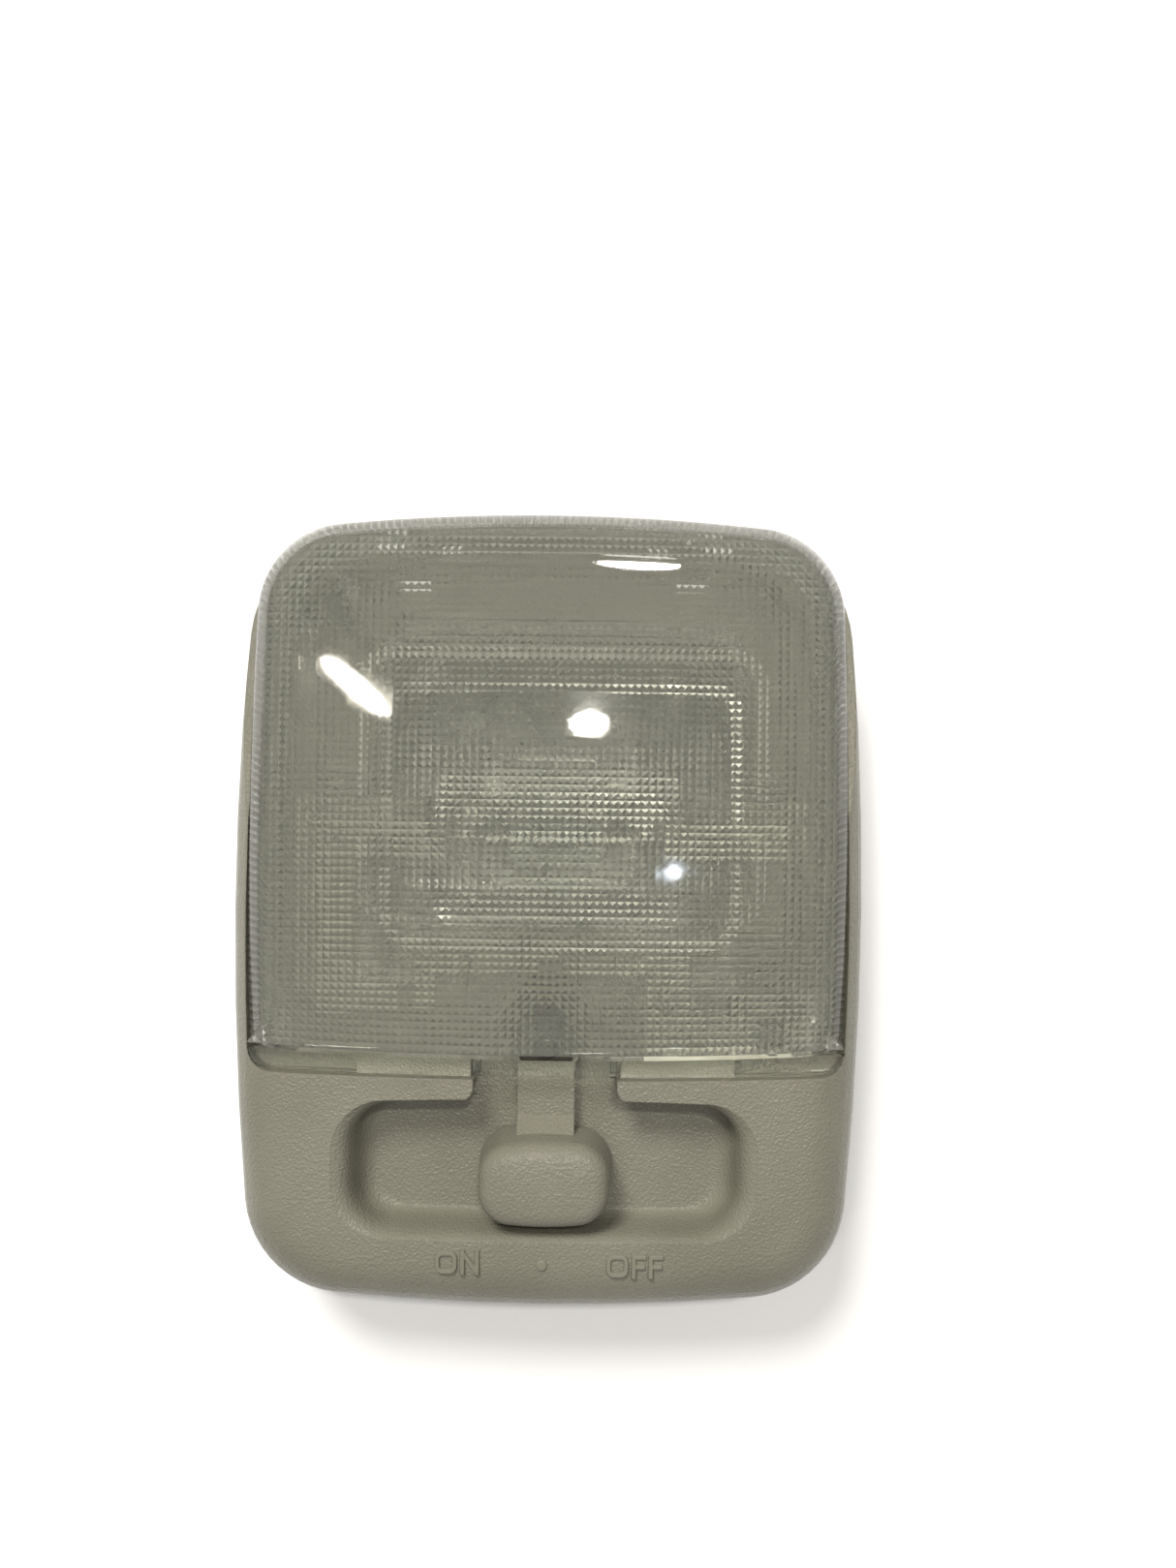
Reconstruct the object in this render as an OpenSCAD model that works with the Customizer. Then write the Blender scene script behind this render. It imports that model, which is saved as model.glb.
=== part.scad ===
// Car dome light with a prismatic snap-in lens and a three-position thumb lever.
// The lamp lies on its back: +Z is out of the lens, +Y is the end away from the lever.

/* [Case] */
// Width across the widest part of the bezel
case_w = 110; // [104:0.5:124]
// Length of the bezel
case_l = 138.5; // [134:0.5:150]
// Bow of each long side
side_bow = 4.3; // [2:0.1:6]
// Bow of the two short ends
end_bow = 3.8; // [2:0.1:5]
// Corner radius at the lens end
corner_top = 22; // [18:0.5:26]
// Corner radius at the lever end
corner_low = 18; // [16:0.5:22]
// Height of the bezel face above the rear edge of the skirt
face_z = 27; // [26:0.1:29]
// Width of the rolled edge, seen from the front
roll_w = 9; // [7:0.5:11]
// Height of the rolled edge
roll_h = 7; // [5:0.5:8]
// Moulded wall
wall = 2.2; // [1.8:0.1:2.8]
// Height of the shelf's rear face above the rear edge of the skirt
flange_z = 13; // [12:0.5:14]
// Depth of the bezel's rear edge below the shelf's rear face
flange_lip = 0.5; // [0.3:0.1:0.8]

/* [Lens] */
// Width of the lens
lens_w = 103.2; // [100:0.2:104]
// Distance from the middle of the case to the top edge of the lens
lens_top = 68.1; // [66:0.1:68.3]
// Distance from the middle of the case to the lower edge of the lens
lens_low = 28.4; // [27.5:0.1:29]
// Height of the crown above the bezel face
lens_rise = 5; // [4.5:0.1:6]
// Wall of the lens
lens_wall = 1.8; // [1.4:0.1:2.2]
// Depth of the clear strip along the lower edge
strip_d = 3.9; // [3:0.1:4.5]
// Clearance around the lens and under it
lens_gap = 0.3; // [0.25:0.05:0.4]
// Distance of each hook from the middle
hook_x = 25.4; // [20:0.2:30]

/* [Thumb recess] */
// Width of the recess at its rim
recess_w = 74.2; // [70:0.2:76]
// Depth of the recess below the face
recess_depth = 9; // [8.5:0.1:9.5]
// Distance from the middle of the case to the upper rim of the recess
recess_top = 31.8; // [31.2:0.1:32.4]
// Width of the gap through which the lever's arm passes
notch_w = 24.6; // [24:0.1:26]

/* [Lever] */
// Distance from the middle of the case to the pivot
pivot_y = 20; // [19.5:0.1:20.5]
// Distance from the pivot to the middle of the knob
knob_reach = 26.1; // [25.8:0.1:26.4]
// Width of the knob at its foot
knob_w = 23.4; // [22:0.2:25]
// Length of the knob at its foot
knob_l = 15.6; // [14.4:0.2:16]
// Room between the knob's foot and the lower rim of the recess
knob_room = 2.6; // [2.5:0.1:3]
// Width of the arm
arm_w = 10; // [8:0.2:11]
// Thickness of the arm
arm_t = 2.2; // [1.8:0.1:2.4]
// Radius of the pivot rivet
pivot_r = 1.6; // [1.4:0.1:2]
// Radial clearance of the arm on its rivet
pivot_fit = 0.08; // [0.05:0.01:0.1]

/* [Fixing] */
// Radius of the two screw holes
screw_r = 2.6; // [2.2:0.1:3]
// Upper screw hole, in from the left and the top edge of the lens
screw_in_top = [12.5, 16.4];
// Lower screw hole, in from the right and the lower edge of the lens
screw_in_low = [11.5, 10.1];
// Radius of the well around the upper screw's head
well_r = 7; // [6:0.1:7]

/* [Electrics] */
// Thickness of the contact strips
strip_t = 0.7; // [0.5:0.1:0.8]
// Middle of the bulb
bulb_at = [1, 16, 13.4];
// Length of the bulb between its two points
bulb_l = 36; // [34:0.5:38]
// Radius of the bulb's glass
bulb_r = 5.2; // [4.5:0.1:5.5]
// Radius of the bulb's caps
cap_r = 4.2; // [3.8:0.1:4.4]

/* [Hidden] */
$fn = 48;

// Steps along a long side, a corner and a short end in one quarter of an outline
side_steps = 3;
corner_steps = 11;
end_steps = 3;

// Colours of the finished pieces
plastic = "#9a9585";
clear = [0.86, 0.88, 0.86, 0.45];
tinned = "#b9b7ab";
brass = "#b08d4a";
steel = "#6f7072";
glass = [0.9, 0.92, 0.92, 0.4];

// Radius of the arc that bows by rise over twice the half width
function arc_radius(half, rise) = (half * half + rise * rise) / (2 * rise);
side_r = arc_radius(case_l / 2, side_bow);
end_r = arc_radius(case_w / 2, end_bow);

// An outline is half width, upper and lower reach, upper and lower corner radius,
// and the radii of the side, upper and lower arcs
case_shape = [case_w / 2, case_l / 2, case_l / 2, corner_top, corner_low, side_r, end_r, end_r];
rim_w = (case_w - lens_w) / 2;
low_r = arc_radius(lens_w / 2, 1.2);
lens_shape = [
    lens_w / 2, lens_top, lens_low, corner_top - 4.5, 4, side_r - rim_w, end_r - 1, low_r
];

recess_low = pivot_y + knob_reach + knob_l / 2 + knob_room;
lens_x = lens_w / 2;
screw_top = [screw_in_top[0] - lens_x, lens_top - screw_in_top[1]];
screw_low = [lens_x - screw_in_low[0], screw_in_low[1] - lens_low];

// Heights, from the rear edge of the skirt
shelf_z = flange_z + 2;
seat_z = face_z - roll_h - lens_gap;
lens_z = seat_z + lens_gap;
crest_z = face_z + lens_rise;
floor_z = face_z - recess_depth;
pad_z = shelf_z + strip_t;
arm_z = floor_z + 1.4;
knob_z = floor_z + 1.2;
knob_top = face_z + 2.8;
bowl_z = 4;

// Every radius and reach of an outline, taken in by d
function taken_in(s, d) = [
    s[0] - d, s[1] - d, s[2] - d, max(s[3] - d, 0.4), max(s[4] - d, 0.4),
    s[5] - d, s[6] - d, s[7] - d
];

// Middle of the corner arc of radius r that is tangent to the side arc and the end arc
function corner_at(half, reach, r, sr, er) =
    let (c1 = [half - sr, 0], c2 = [0, reach - er], d = norm(c2 - c1), e = (c2 - c1) / d)
    let (m = ((sr - r) * (sr - r) - (er - r) * (er - r) + d * d) / (2 * d))
    let (h = sqrt((sr - r) * (sr - r) - m * m))
    c1 + m * e + h * [-e[1], e[0]];

function on_arc(c, r, a) = c + r * [cos(a), sin(a)];

// One quarter of an outline, from the end of the half width to the end of the reach
function quarter(half, reach, r, sr, er) =
    let (p = corner_at(half, reach, r, sr, er), c1 = [half - sr, 0], c2 = [0, reach - er])
    let (a1 = atan2(p[1], p[0] - c1[0]), a2 = atan2(p[1] - c2[1], p[0]))
    concat(
        [for (i = [0 : side_steps - 1]) on_arc(c1, sr, a1 * i / side_steps)],
        [for (i = [0 : corner_steps - 1]) on_arc(p, r, a1 + (a2 - a1) * i / corner_steps)],
        [for (i = [0 : end_steps]) on_arc(c2, er, a2 + (90 - a2) * i / end_steps)]
    );

// The whole outline, counterclockwise
function outline(s) =
    let (up = quarter(s[0], s[1], s[3], s[5], s[6]), down = quarter(s[0], s[2], s[4], s[5], s[7]))
    let (n = len(up) - 1)
    concat(
        [for (i = [0 : n - 1]) up[i]],
        [for (i = [n : -1 : 1]) [-up[i][0], up[i][1]]],
        [for (i = [0 : n - 1]) -down[i]],
        [for (i = [n : -1 : 1]) [down[i][0], -down[i][1]]]
    );

// A ring of a loft: the outline at height z, moved by its middle
function ring(s, z, mid = [0, 0]) = [for (p = outline(s)) [p[0] + mid[0], p[1] + mid[1], z]];

// Closed solid through a stack of rings with the same number of points, lowest first
module loft(rings) {
    n = len(rings[0]);
    last = len(rings) - 1;
    points = [for (r = rings) each r];
    sides = [
        for (r = [0 : last - 1], i = [0 : n - 1])
            let (a = r * n + i, b = r * n + (i + 1) % n)
            each [[a, a + n, b + n], [a, b + n, b]]
    ];
    foot = [for (i = [0 : n - 1]) i];
    head = [for (i = [n - 1 : -1 : 0]) last * n + i];
    polyhedron(points, concat([foot], sides, [head]));
}

// Straight plate of an outline between two heights
module plate(s, z1, z2) {
    translate([0, 0, z1]) linear_extrude(z2 - z1) polygon(outline(s));
}

// Box between two corners
module block(a, b) {
    translate(a) cube(b - a);
}

// The rolled edge: a quarter of an ellipse w wide and h high, from the side up to the face
module rolled(s, z, w, h, foot_z, draft) {
    loft(concat(
        [ring(taken_in(s, draft), foot_z)],
        [for (a = [0 : 15 : 90]) ring(taken_in(s, w * (1 - cos(a))), z + h * sin(a))]
    ));
}

module bezel_outside() {
    rolled(case_shape, face_z - roll_h, roll_w, roll_h, flange_z - flange_lip, 0.6);
}

// The space behind the bezel face at the lever end
module bezel_hollow() {
    intersection() {
        rolled(
            taken_in(case_shape, wall), face_z - roll_h, roll_w - wall, roll_h - wall,
            flange_z - flange_lip - 1, 0.6
        );
        block([-case_w, -case_l, 0], [case_w, -recess_top + 1, face_z - wall - 0.01]);
    }
}

// Rings of the thumb recess, let out by more. Its wall leaves the floor and meets the rim in a round:
// near both it moves sideways fast and up slowly, and between them the other way round.
recess_mid = -(recess_top + recess_low) / 2;
recess_half = (recess_low - recess_top) / 2;
recess_in = [7.9, 1.6, 3.2];
function ease(u) = u * u * (3 - 2 * u);
function drawn_in(u) = 1 - u - 0.8 * sin(360 * u) / (2 * PI);
function recess_ring(u, more) =
    let (side = recess_w / 2 - recess_in[0] * drawn_in(u) + more)
    let (up = recess_half - recess_in[1] * drawn_in(u) + more)
    let (down = recess_half - recess_in[2] * drawn_in(u) + more)
    ring(
        [side, up, down, 5 + 4 * u + more, 5 + 4 * u + more, 300, 900, 900],
        floor_z - more + recess_depth * ease(u), [0, recess_mid]
    );

module recess_cut() {
    rim = recess_ring(0.95, 0);
    loft(concat(
        [for (u = [0, 0.06, 0.13, 0.22, 0.34, 0.5, 0.66, 0.78, 0.87, 0.95]) recess_ring(u, 0)],
        [[for (p = rim) [p[0] * 1.02, p[1] + (p[1] - recess_mid) * 0.03, face_z + 1]]]
    ));
}

// The wall around the recess, seen from behind
module recess_wall() {
    loft([for (u = [0, 0.18, 0.5, 0.82, 0.95]) recess_ring(u, 1.9)]);
}

// The way of the arm from the recess to the pivot, with the two tongues' rounded ends
tongue_r = 2.5;
module arm_channel() {
    translate([0, 0, floor_z]) linear_extrude(crest_z - floor_z) {
        translate([-notch_w / 2, -recess_top - 5]) square([notch_w, recess_top + 5 - pivot_y - 4]);
        for (side = [-1, 1])
            difference() {
                translate([side * (notch_w + tongue_r) / 2, -recess_top + tongue_r / 2 - 0.7])
                    square([tongue_r, tongue_r + 1.4], center = true);
                translate([side * (notch_w / 2 + tongue_r), -recess_top + tongue_r - 0.6])
                    circle(tongue_r);
            }
    }
}

// The reflector bowl behind the bulb, with walls that slope more at its top and right
bowl_mouth = [21.6 - lens_x, -3, lens_x - 17.6, 46];
bowl_floor = [30.6 - lens_x, 2.5, lens_x - 28.6, 30];
function bowl_ring(u, z, more) =
    let (b = bowl_floor + (bowl_mouth - bowl_floor) * u)
    let (half = (b[2] - b[0]) / 2 + more, reach = (b[3] - b[1]) / 2 + more)
    ring([half, reach, reach, 5 + more, 5 + more, 900, 900, 900], z,
        [(b[0] + b[2]) / 2, (b[1] + b[3]) / 2]);

// The bowl let out by more, from foot_z up to head_z
module bowl(more, foot_z, head_z) {
    depth = shelf_z - bowl_z;
    intersection() {
        loft([
            bowl_ring(0, foot_z, more),
            bowl_ring(0.25, bowl_z + depth * 0.12, more),
            bowl_ring(1, shelf_z + 0.5, more)
        ]);
        block([-case_w, -case_l, foot_z - 1], [case_w, case_l, head_z]);
    }
}

// The opening in the shelf for the bowl, with a rebate for the bowl's flange
tray_t = 0.8;
tray_gap = 0.1;
tray_flange = 0.9;
module bowl_rim(more) {
    polygon([for (p = bowl_ring(1, 0, more)) [p[0], p[1]]]);
}

module bowl_seat() {
    bowl(0, bowl_z, shelf_z + 0.02);
    translate([0, 0, shelf_z - tray_t]) linear_extrude(crest_z) bowl_rim(tray_flange + tray_gap);
}

// The locating skirt on the back, which goes into the hole in the headlining:
// its upper corners run round the screw's well
skirt_in = 4.7;
skirt_t = 2;
skirt_gap = 0.1;
skirt_x = case_w / 2 - skirt_in;
skirt_low = lens_low - 2.6;
skirt_shape = [
    skirt_x, case_l / 2 - 6.8, skirt_low, well_r + 1.8, 5, side_r - skirt_in, end_r - 6.8, 900
];
module skirt(side) {
    intersection() {
        difference() {
            union() {
                difference() {
                    plate(skirt_shape, 0, flange_z);
                    plate(taken_in(skirt_shape, skirt_t), -1, flange_z + 1);
                    block([-34, -40, -1], [-18, -20, 7]);
                    block([-8, 50, -1], [8, 70, 5]);
                }
                ribs();
            }
            translate([screw_top[0], screw_top[1], bowl_z + well_floor])
                cylinder(r = well_r, h = crest_z);
        }
        block([side > 0 ? 0 : -case_w, -case_l, -1], [side > 0 ? case_w : 0, case_l, crest_z]);
    }
}

module back_skirt_left() {
    color(plastic) skirt(-1);
}

module back_skirt_right() {
    color(plastic) skirt(1);
}

// The well for the upper screw, in the corner of the skirt
well_floor = 2.5;
module screw_well() {
    color(plastic) intersection() {
        translate([screw_top[0], screw_top[1], bowl_z]) difference() {
            cylinder(r = well_r + 1.6, h = flange_z - bowl_z);
            translate([0, 0, well_floor]) cylinder(r = well_r, h = crest_z);
            translate([0, 0, -1]) cylinder(r = screw_r, h = crest_z);
        }
        plate(taken_in(skirt_shape, skirt_t), 0, crest_z);
    }
}

// The boss for the lower screw, joined to the skirt by a web
module screw_boss() {
    web = 1.5;
    color(plastic) intersection() {
        difference() {
            union() {
                translate([screw_low[0], screw_low[1], bowl_z])
                    cylinder(r = screw_r + 2.6, h = flange_z - bowl_z);
                block(
                    [screw_low[0] - web, -skirt_low, bowl_z],
                    [screw_low[0] + web, screw_low[1] - screw_r - 0.5, flange_z]
                );
            }
            translate([screw_low[0], screw_low[1], 0]) cylinder(r = screw_r, h = crest_z);
        }
        plate(taken_in(skirt_shape, skirt_t), 0, crest_z);
    }
}

connector_at = [-26, -12.6];
module connector_shroud() {
    color(plastic) {
        difference() {
            translate([connector_at[0], connector_at[1], 1]) linear_extrude(flange_z - 1)
                square([17, 11], center = true);
            translate([connector_at[0], connector_at[1], 0]) linear_extrude(flange_z + 1)
                square([14.4, 8.4], center = true);
        }
        block(
            [connector_at[0] - 3, connector_at[1] + 5.5, 6],
            [connector_at[0] + 3, connector_at[1] + 6.4, 8]
        );
    }
}

// Ribs under the shelf, from the skirt to the bowl
rib_t = 1.5;
module ribs() {
    t = rib_t / 2;
    wall_x = skirt_x - skirt_t / 2;
    room = 1.5;
    for (x = [-14, 16])
        block([x - t, bowl_mouth[3] + room, 5], [x + t, case_l / 2 - 8.6, flange_z]);
    for (y = [4, 34])
        block([-wall_x, y - t, 5], [bowl_mouth[0] - room, y + t, flange_z]);
    block([bowl_mouth[2] + room, 34 - t, 5], [wall_x, 34 + t, flange_z]);
}

// Ribs behind the bezel
module bezel_ribs() {
    t = rib_t / 2;
    for (x = [-1, 1] * (recess_w / 2 + 7.7))
        block([x - t, -recess_low - 1, flange_z + 1], [x + t, -lens_low, face_z - 1]);
    for (x = [-22, 0, 22])
        block([x - t, -case_l / 2 + 3.2, flange_z + 1], [x + t, -recess_low, floor_z + 4]);
}

// The front of the moulding: the bezel, the recess and the shelf that carries the strips
module housing() {
    color(plastic) union() {
        difference() {
            union() {
                difference() {
                    bezel_outside();
                    bezel_hollow();
                }
                intersection() {
                    recess_wall();
                    block([-60, -60, 10], [60, -20, face_z - 0.5]);
                }
                block(
                    [-notch_w / 2 - 2, -recess_top - 6, floor_z - 2],
                    [notch_w / 2 + 2, -lens_low, face_z - 1]
                );
                bezel_ribs();
            }
            plate(taken_in(skirt_shape, -skirt_gap), 0, flange_z);
            recess_cut();
            arm_channel();
            plate(taken_in(lens_shape, -lens_gap), seat_z, crest_z);
            plate(taken_in(lens_shape, 2.4), shelf_z, crest_z);
            bowl_seat();
            rim_slope();
            hook_slots();
            translate([screw_top[0], screw_top[1], 0]) cylinder(r = well_r, h = crest_z);
            translate([screw_low[0], screw_low[1], 0]) cylinder(r = screw_r + 1, h = crest_z);
            terminal_slots();
            rivet_holes();
        }
        strip_ledges();
        switch_platform();
    }
}

// The rim beside the lens falls away towards the top end, so that the lens can tip up
module rim_slope() {
    rotate([90, 0, 90]) translate([0, 0, -case_w]) linear_extrude(2 * case_w)
        polygon([
            [-6, face_z + 1], [56, seat_z], [case_l, seat_z], [case_l, face_z + 9], [-6, face_z + 9]
        ]);
    difference() {
        block([-case_w, lens_top - 4, seat_z - 0.8], [case_w, case_l, seat_z + 1]);
        plate(taken_in(lens_shape, -lens_gap), 0, crest_z);
    }
}

// The lens tips on two round beads: their place, their radius and the thickness of the hooks
hook_w = 5;
hook_t = 1.6;
bead_r = 0.8;
bead_fit = 0.08;
bead_y = lens_top - 0.8;
bead_z = lens_z - 2.3;
hook_y = bead_y - 0.8;

// Slots in the seat for the two hooks, with a round-bottomed pocket under the lip for each bead
module hook_slots() {
    for (side = [-1, 1])
        translate([side * hook_x - hook_w / 2 - 0.4, 0, 0]) rotate([90, 0, 90])
            linear_extrude(hook_w + 0.8) union() {
                polygon([
                    [hook_y - hook_t - 1.2, flange_z - 1], [hook_y - hook_t - 1.2, lens_z],
                    [hook_y + 1.35, lens_z], [hook_y + 1.05, bead_z + bead_r + bead_fit],
                    [bead_y, bead_z + bead_r + bead_fit], [bead_y, flange_z - 1]
                ]);
                translate([bead_y, bead_z]) circle(bead_r + bead_fit);
            }
}

// Two ledges under the clear strip of the lens, one behind each tongue
ledge_end = 32.6;
module strip_ledges() {
    for (side = [-1, 1])
        translate([side > 0 ? notch_w / 2 + 0.6 : -ledge_end, -lens_low - 1, shelf_z - 0.5])
            cube([ledge_end - notch_w / 2 - 0.6, strip_d + 0.4, strip_z - lens_gap - shelf_z + 0.5]);
}

// The raised platform that carries the pivot, with a boss under the lever's eye
platform_x = 10;
module switch_platform() {
    difference() {
        union() {
            block([-platform_x, -lens_low + 1, shelf_z - 0.5], [platform_x, -pivot_y + 7, floor_z]);
            translate([0, -pivot_y, floor_z - 0.5])
                cylinder(r = pivot_r + 2.4, h = arm_z - wiper_t - floor_z + 0.3);
        }
        translate([0, -pivot_y, 0]) cylinder(r = pivot_r, h = crest_z);
    }
}

// Heights of the lens
strip_z = face_z - 2.6;
strip_h = 1.6;
wall_rise = 4;
crown_x = 1.5;
crown_y = 1.2;
roll_in = 9;
field_low = lens_low - strip_d;
lens_mid = (lens_top - field_low) / 2;

// A ring of the dome, taken in by d except along its lower edge, and cut short there by low
function dome_ring(d, z, low) =
    let (s = lens_shape)
    ring([s[0] - d, s[1] - d, field_low - low, s[3] - d, 1, s[5] - d, s[6] - d, s[7]], z);

// Height of the crown over a point: it falls away along and across the dome
function crown_at(p) =
    crest_z - crown_x * pow(p[0] / (lens_x - roll_in), 2)
    - crown_y * pow((p[1] - lens_mid) / (lens_top - roll_in - lens_mid), 2);

// A ring carried up to the crown, as far as lift says
function raised(base, t, lift) = [
    for (p = base) [p[0], p[1], lens_z + wall_rise + (crown_at(p) - t - lens_z - wall_rise) * lift]
];

// A ring drawn in towards the middle of the dome, on its crown
function crown_ring(base, k, t) =
    raised([for (p = base) [p[0] * k, lens_mid + (p[1] - lens_mid) * k]], t, 1);

module dome(t, foot_z) {
    top = dome_ring(roll_in, 0, t);
    loft(concat(
        [dome_ring(t, foot_z, t)],
        [
            for (a = [0 : 15 : 90])
                raised(dome_ring(t + (roll_in - t) * (1 - cos(a)), 0, t), t, sin(a))
        ],
        [for (k = [0.84, 0.62, 0.38]) crown_ring(top, k, t)],
        [[for (p = top) [p[0] * 0.15, lens_mid + (p[1] - lens_mid) * 0.15, crest_z - t]]]
    ));
}

module lens() {
    color(clear) union() {
        difference() {
            dome(0, lens_z);
            dome(lens_wall, lens_z - 1);
            block([-lens_w / 2 + 4, -lens_low - 5, 0], [lens_w / 2 - 4, -field_low + 4, strip_z]);
        }
        intersection() {
            plate(lens_shape, strip_z, strip_z + strip_h);
            block([-lens_w, -lens_low - 5, 0], [lens_w, -field_low + 0.8, crest_z]);
        }
        for (side = [-1, 1])
            lens_tab(side);
        for (side = [-1, 1])
            lens_hook(side);
    }
}

// A locating tab on each side of the arm's way
module lens_tab(side) {
    x = side * (notch_w / 2 - 0.6);
    block([x - 0.6, -lens_low + 0.5, strip_z - 3], [x + 0.6, -field_low + 0.5, strip_z + 0.5]);
}

// A hook under the top edge, with a round bead at its toe
module lens_hook(side) {
    translate([side * hook_x - hook_w / 2, 0, 0]) rotate([90, 0, 90]) linear_extrude(hook_w) union() {
        polygon([
            [hook_y, lens_z + 1], [hook_y, bead_z + bead_r], [bead_y, bead_z + bead_r],
            [bead_y, bead_z - bead_r], [hook_y - hook_t, bead_z - bead_r],
            [hook_y - hook_t, lens_z + 0.6], [hook_y - hook_t - 0.8, lens_z + 3], [hook_y, lens_z + 3]
        ]);
        translate([bead_y, bead_z]) circle(bead_r);
    }
}

// Rings of the knob: foot outline drawn in by draft and rolled over at the top
knob_y = -pivot_y - knob_reach;
function knob_ring(d, z) =
    ring(taken_in([knob_w / 2, knob_l / 2, knob_l / 2, 6.2, 6.2, 90, 60, 60], d), z, [0, knob_y]);

module knob(t, foot_z) {
    roll = 2.9;
    draft = 0.5;
    loft(concat(
        [knob_ring(t, foot_z)],
        [
            for (a = [0 : 18 : 90])
                knob_ring(draft + t + (roll - t) * (1 - cos(a)), knob_top - roll + (roll - t) * sin(a))
        ],
        [knob_ring(knob_l * 0.35 + t * 0.3, knob_top - t + 0.25)]
    ));
}

eye_r = pivot_r + 4.6;
module switch_lever() {
    edge_y = knob_y + knob_l / 2;
    color(plastic) difference() {
        union() {
            difference() {
                knob(0, knob_z);
                knob(2, knob_z - 1);
            }
            rotate([90, 0, 90]) translate([0, 0, -arm_w / 2]) linear_extrude(arm_w)
                polygon([
                    [-pivot_y, arm_z], [-pivot_y, arm_z + arm_t],
                    [edge_y + 2.2, arm_z + arm_t], [edge_y - 0.3, arm_z + arm_t + 2.2],
                    [edge_y - 1.3, arm_z + arm_t + 2.8], [edge_y - 1.3, arm_z]
                ]);
            translate([0, -pivot_y, arm_z]) cylinder(r = eye_r, h = arm_t);
        }
        translate([0, -pivot_y, 0]) cylinder(r = pivot_r + pivot_fit, h = crest_z);
    }
}

// Tubular rivet through the platform, clinched on the strip behind it
module tube_rivet(r, foot_z, head_z, head_r, head_h, tail_r, bore_r) {
    rotate_extrude() polygon([
        [bore_r, foot_z - head_h], [tail_r, foot_z - head_h], [tail_r, foot_z], [r, foot_z],
        [r, head_z], [head_r, head_z], [head_r, head_z + head_h * 0.6],
        [head_r - 0.4, head_z + head_h], [bore_r, head_z + head_h]
    ]);
}

washer_z = arm_z + arm_t + 0.1;
washer_t = 0.5;
washer_r = eye_r - 0.8;
module pivot_rivet() {
    color(steel) translate([0, -pivot_y, 0])
        tube_rivet(
            pivot_r, flange_z - strip_t, washer_z + washer_t, pivot_r * 2, 0.8, pivot_r + 1, pivot_r / 2
        );
}

module pivot_washer() {
    color(steel) translate([0, -pivot_y, washer_z]) difference() {
        cylinder(r = washer_r, h = washer_t);
        translate([0, 0, -1]) cylinder(r = pivot_r, h = 3);
    }
}

// Spring contact on the underside of the arm, with a tail that wipes over the pads
wiper_r = 14;
wiper_t = 0.5;
module wiper_contact() {
    color(brass) translate([0, -pivot_y, 0]) difference() {
        union() {
            translate([0, 0, arm_z - wiper_t]) cylinder(r = washer_r, h = wiper_t);
            rotate([90, 0, 90]) translate([0, 0, -1.6]) linear_extrude(3.2)
                polygon([
                    [3, arm_z - wiper_t], [9, arm_z - wiper_t], [wiper_r - 1.4, pad_z + 0.3],
                    [wiper_r - 0.4, pad_z + 0.3], [wiper_r + 0.8, pad_z + 1],
                    [wiper_r + 0.5, pad_z + 1.4], [wiper_r - 0.7, pad_z + 0.3 + wiper_t],
                    [wiper_r - 1.1, pad_z + 0.3 + wiper_t], [9.2, arm_z], [3, arm_z]
                ]);
        }
        cylinder(r = pivot_r + pivot_fit, h = crest_z);
    }
}

// A flat bar of the strips, from a to b with its edges at w / 2
module bar(a, b, w, z) {
    d = b - a;
    translate([a[0], a[1], z]) rotate(atan2(d[1], d[0]))
        translate([-w / 2, -w / 2, 0]) cube([norm(d) + w, w, strip_t]);
}

// Stamped steel strip from the plate under the lower screw to the lit position's pad
pad_turn = 21;
plate_x = 7.6;
module earth_strip() {
    pad = [wiper_r * sin(pad_turn), wiper_r * cos(pad_turn) - pivot_y];
    x = earth_rivet[0];
    color(tinned) difference() {
        union() {
            block(
                [screw_low[0] - plate_x, -field_low + 0.2, shelf_z],
                [screw_low[0] + plate_x, screw_low[1] + plate_x, pad_z]
            );
            bar([x, screw_low[1] - 1], [screw_low[0] - plate_x, screw_low[1] - 1], 8, shelf_z);
            bar([x, screw_low[1] - 1], [x, pad[1] - 1], 8, shelf_z);
            bar(pad, [x, pad[1]], 3.6, shelf_z);
        }
        translate([screw_low[0], screw_low[1], 0]) cylinder(r = screw_r + 0.2, h = crest_z);
        translate([earth_rivet[0], earth_rivet[1], 0]) cylinder(r = 1, h = crest_z);
    }
}

// Stamped strip from the door wire's blade to the middle pad
module door_strip() {
    pad_low = wiper_r - pivot_y;
    color(tinned) difference() {
        union() {
            bar([0, pad_low], [-10, pad_low], 3.2, shelf_z);
            bar([-10, pad_low], [blade_door[0], pad_low - 1], 3.8, shelf_z);
            bar([blade_door[0], pad_low - 1], blade_door, 3.8, shelf_z);
            terminal(blade_door);
        }
        translate([door_rivet[0], door_rivet[1], 0]) cylinder(r = 1, h = crest_z);
    }
}

// Stamped strip from the feed wire's blade to the left bulb contact
module feed_strip() {
    color(tinned) difference() {
        union() {
            bar(blade_feed, [feed_x, blade_feed[1]], 5, shelf_z);
            bar([feed_x, blade_feed[1]], [feed_x, bulb_at[1] - 6], 6, shelf_z);
            bar([feed_x, bulb_at[1] - 6], [feed_x, bulb_at[1]], 7, shelf_z);
            terminal(blade_feed);
        }
        translate([left_rivet[0], left_rivet[1], 0]) cylinder(r = 1, h = crest_z);
    }
}

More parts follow.
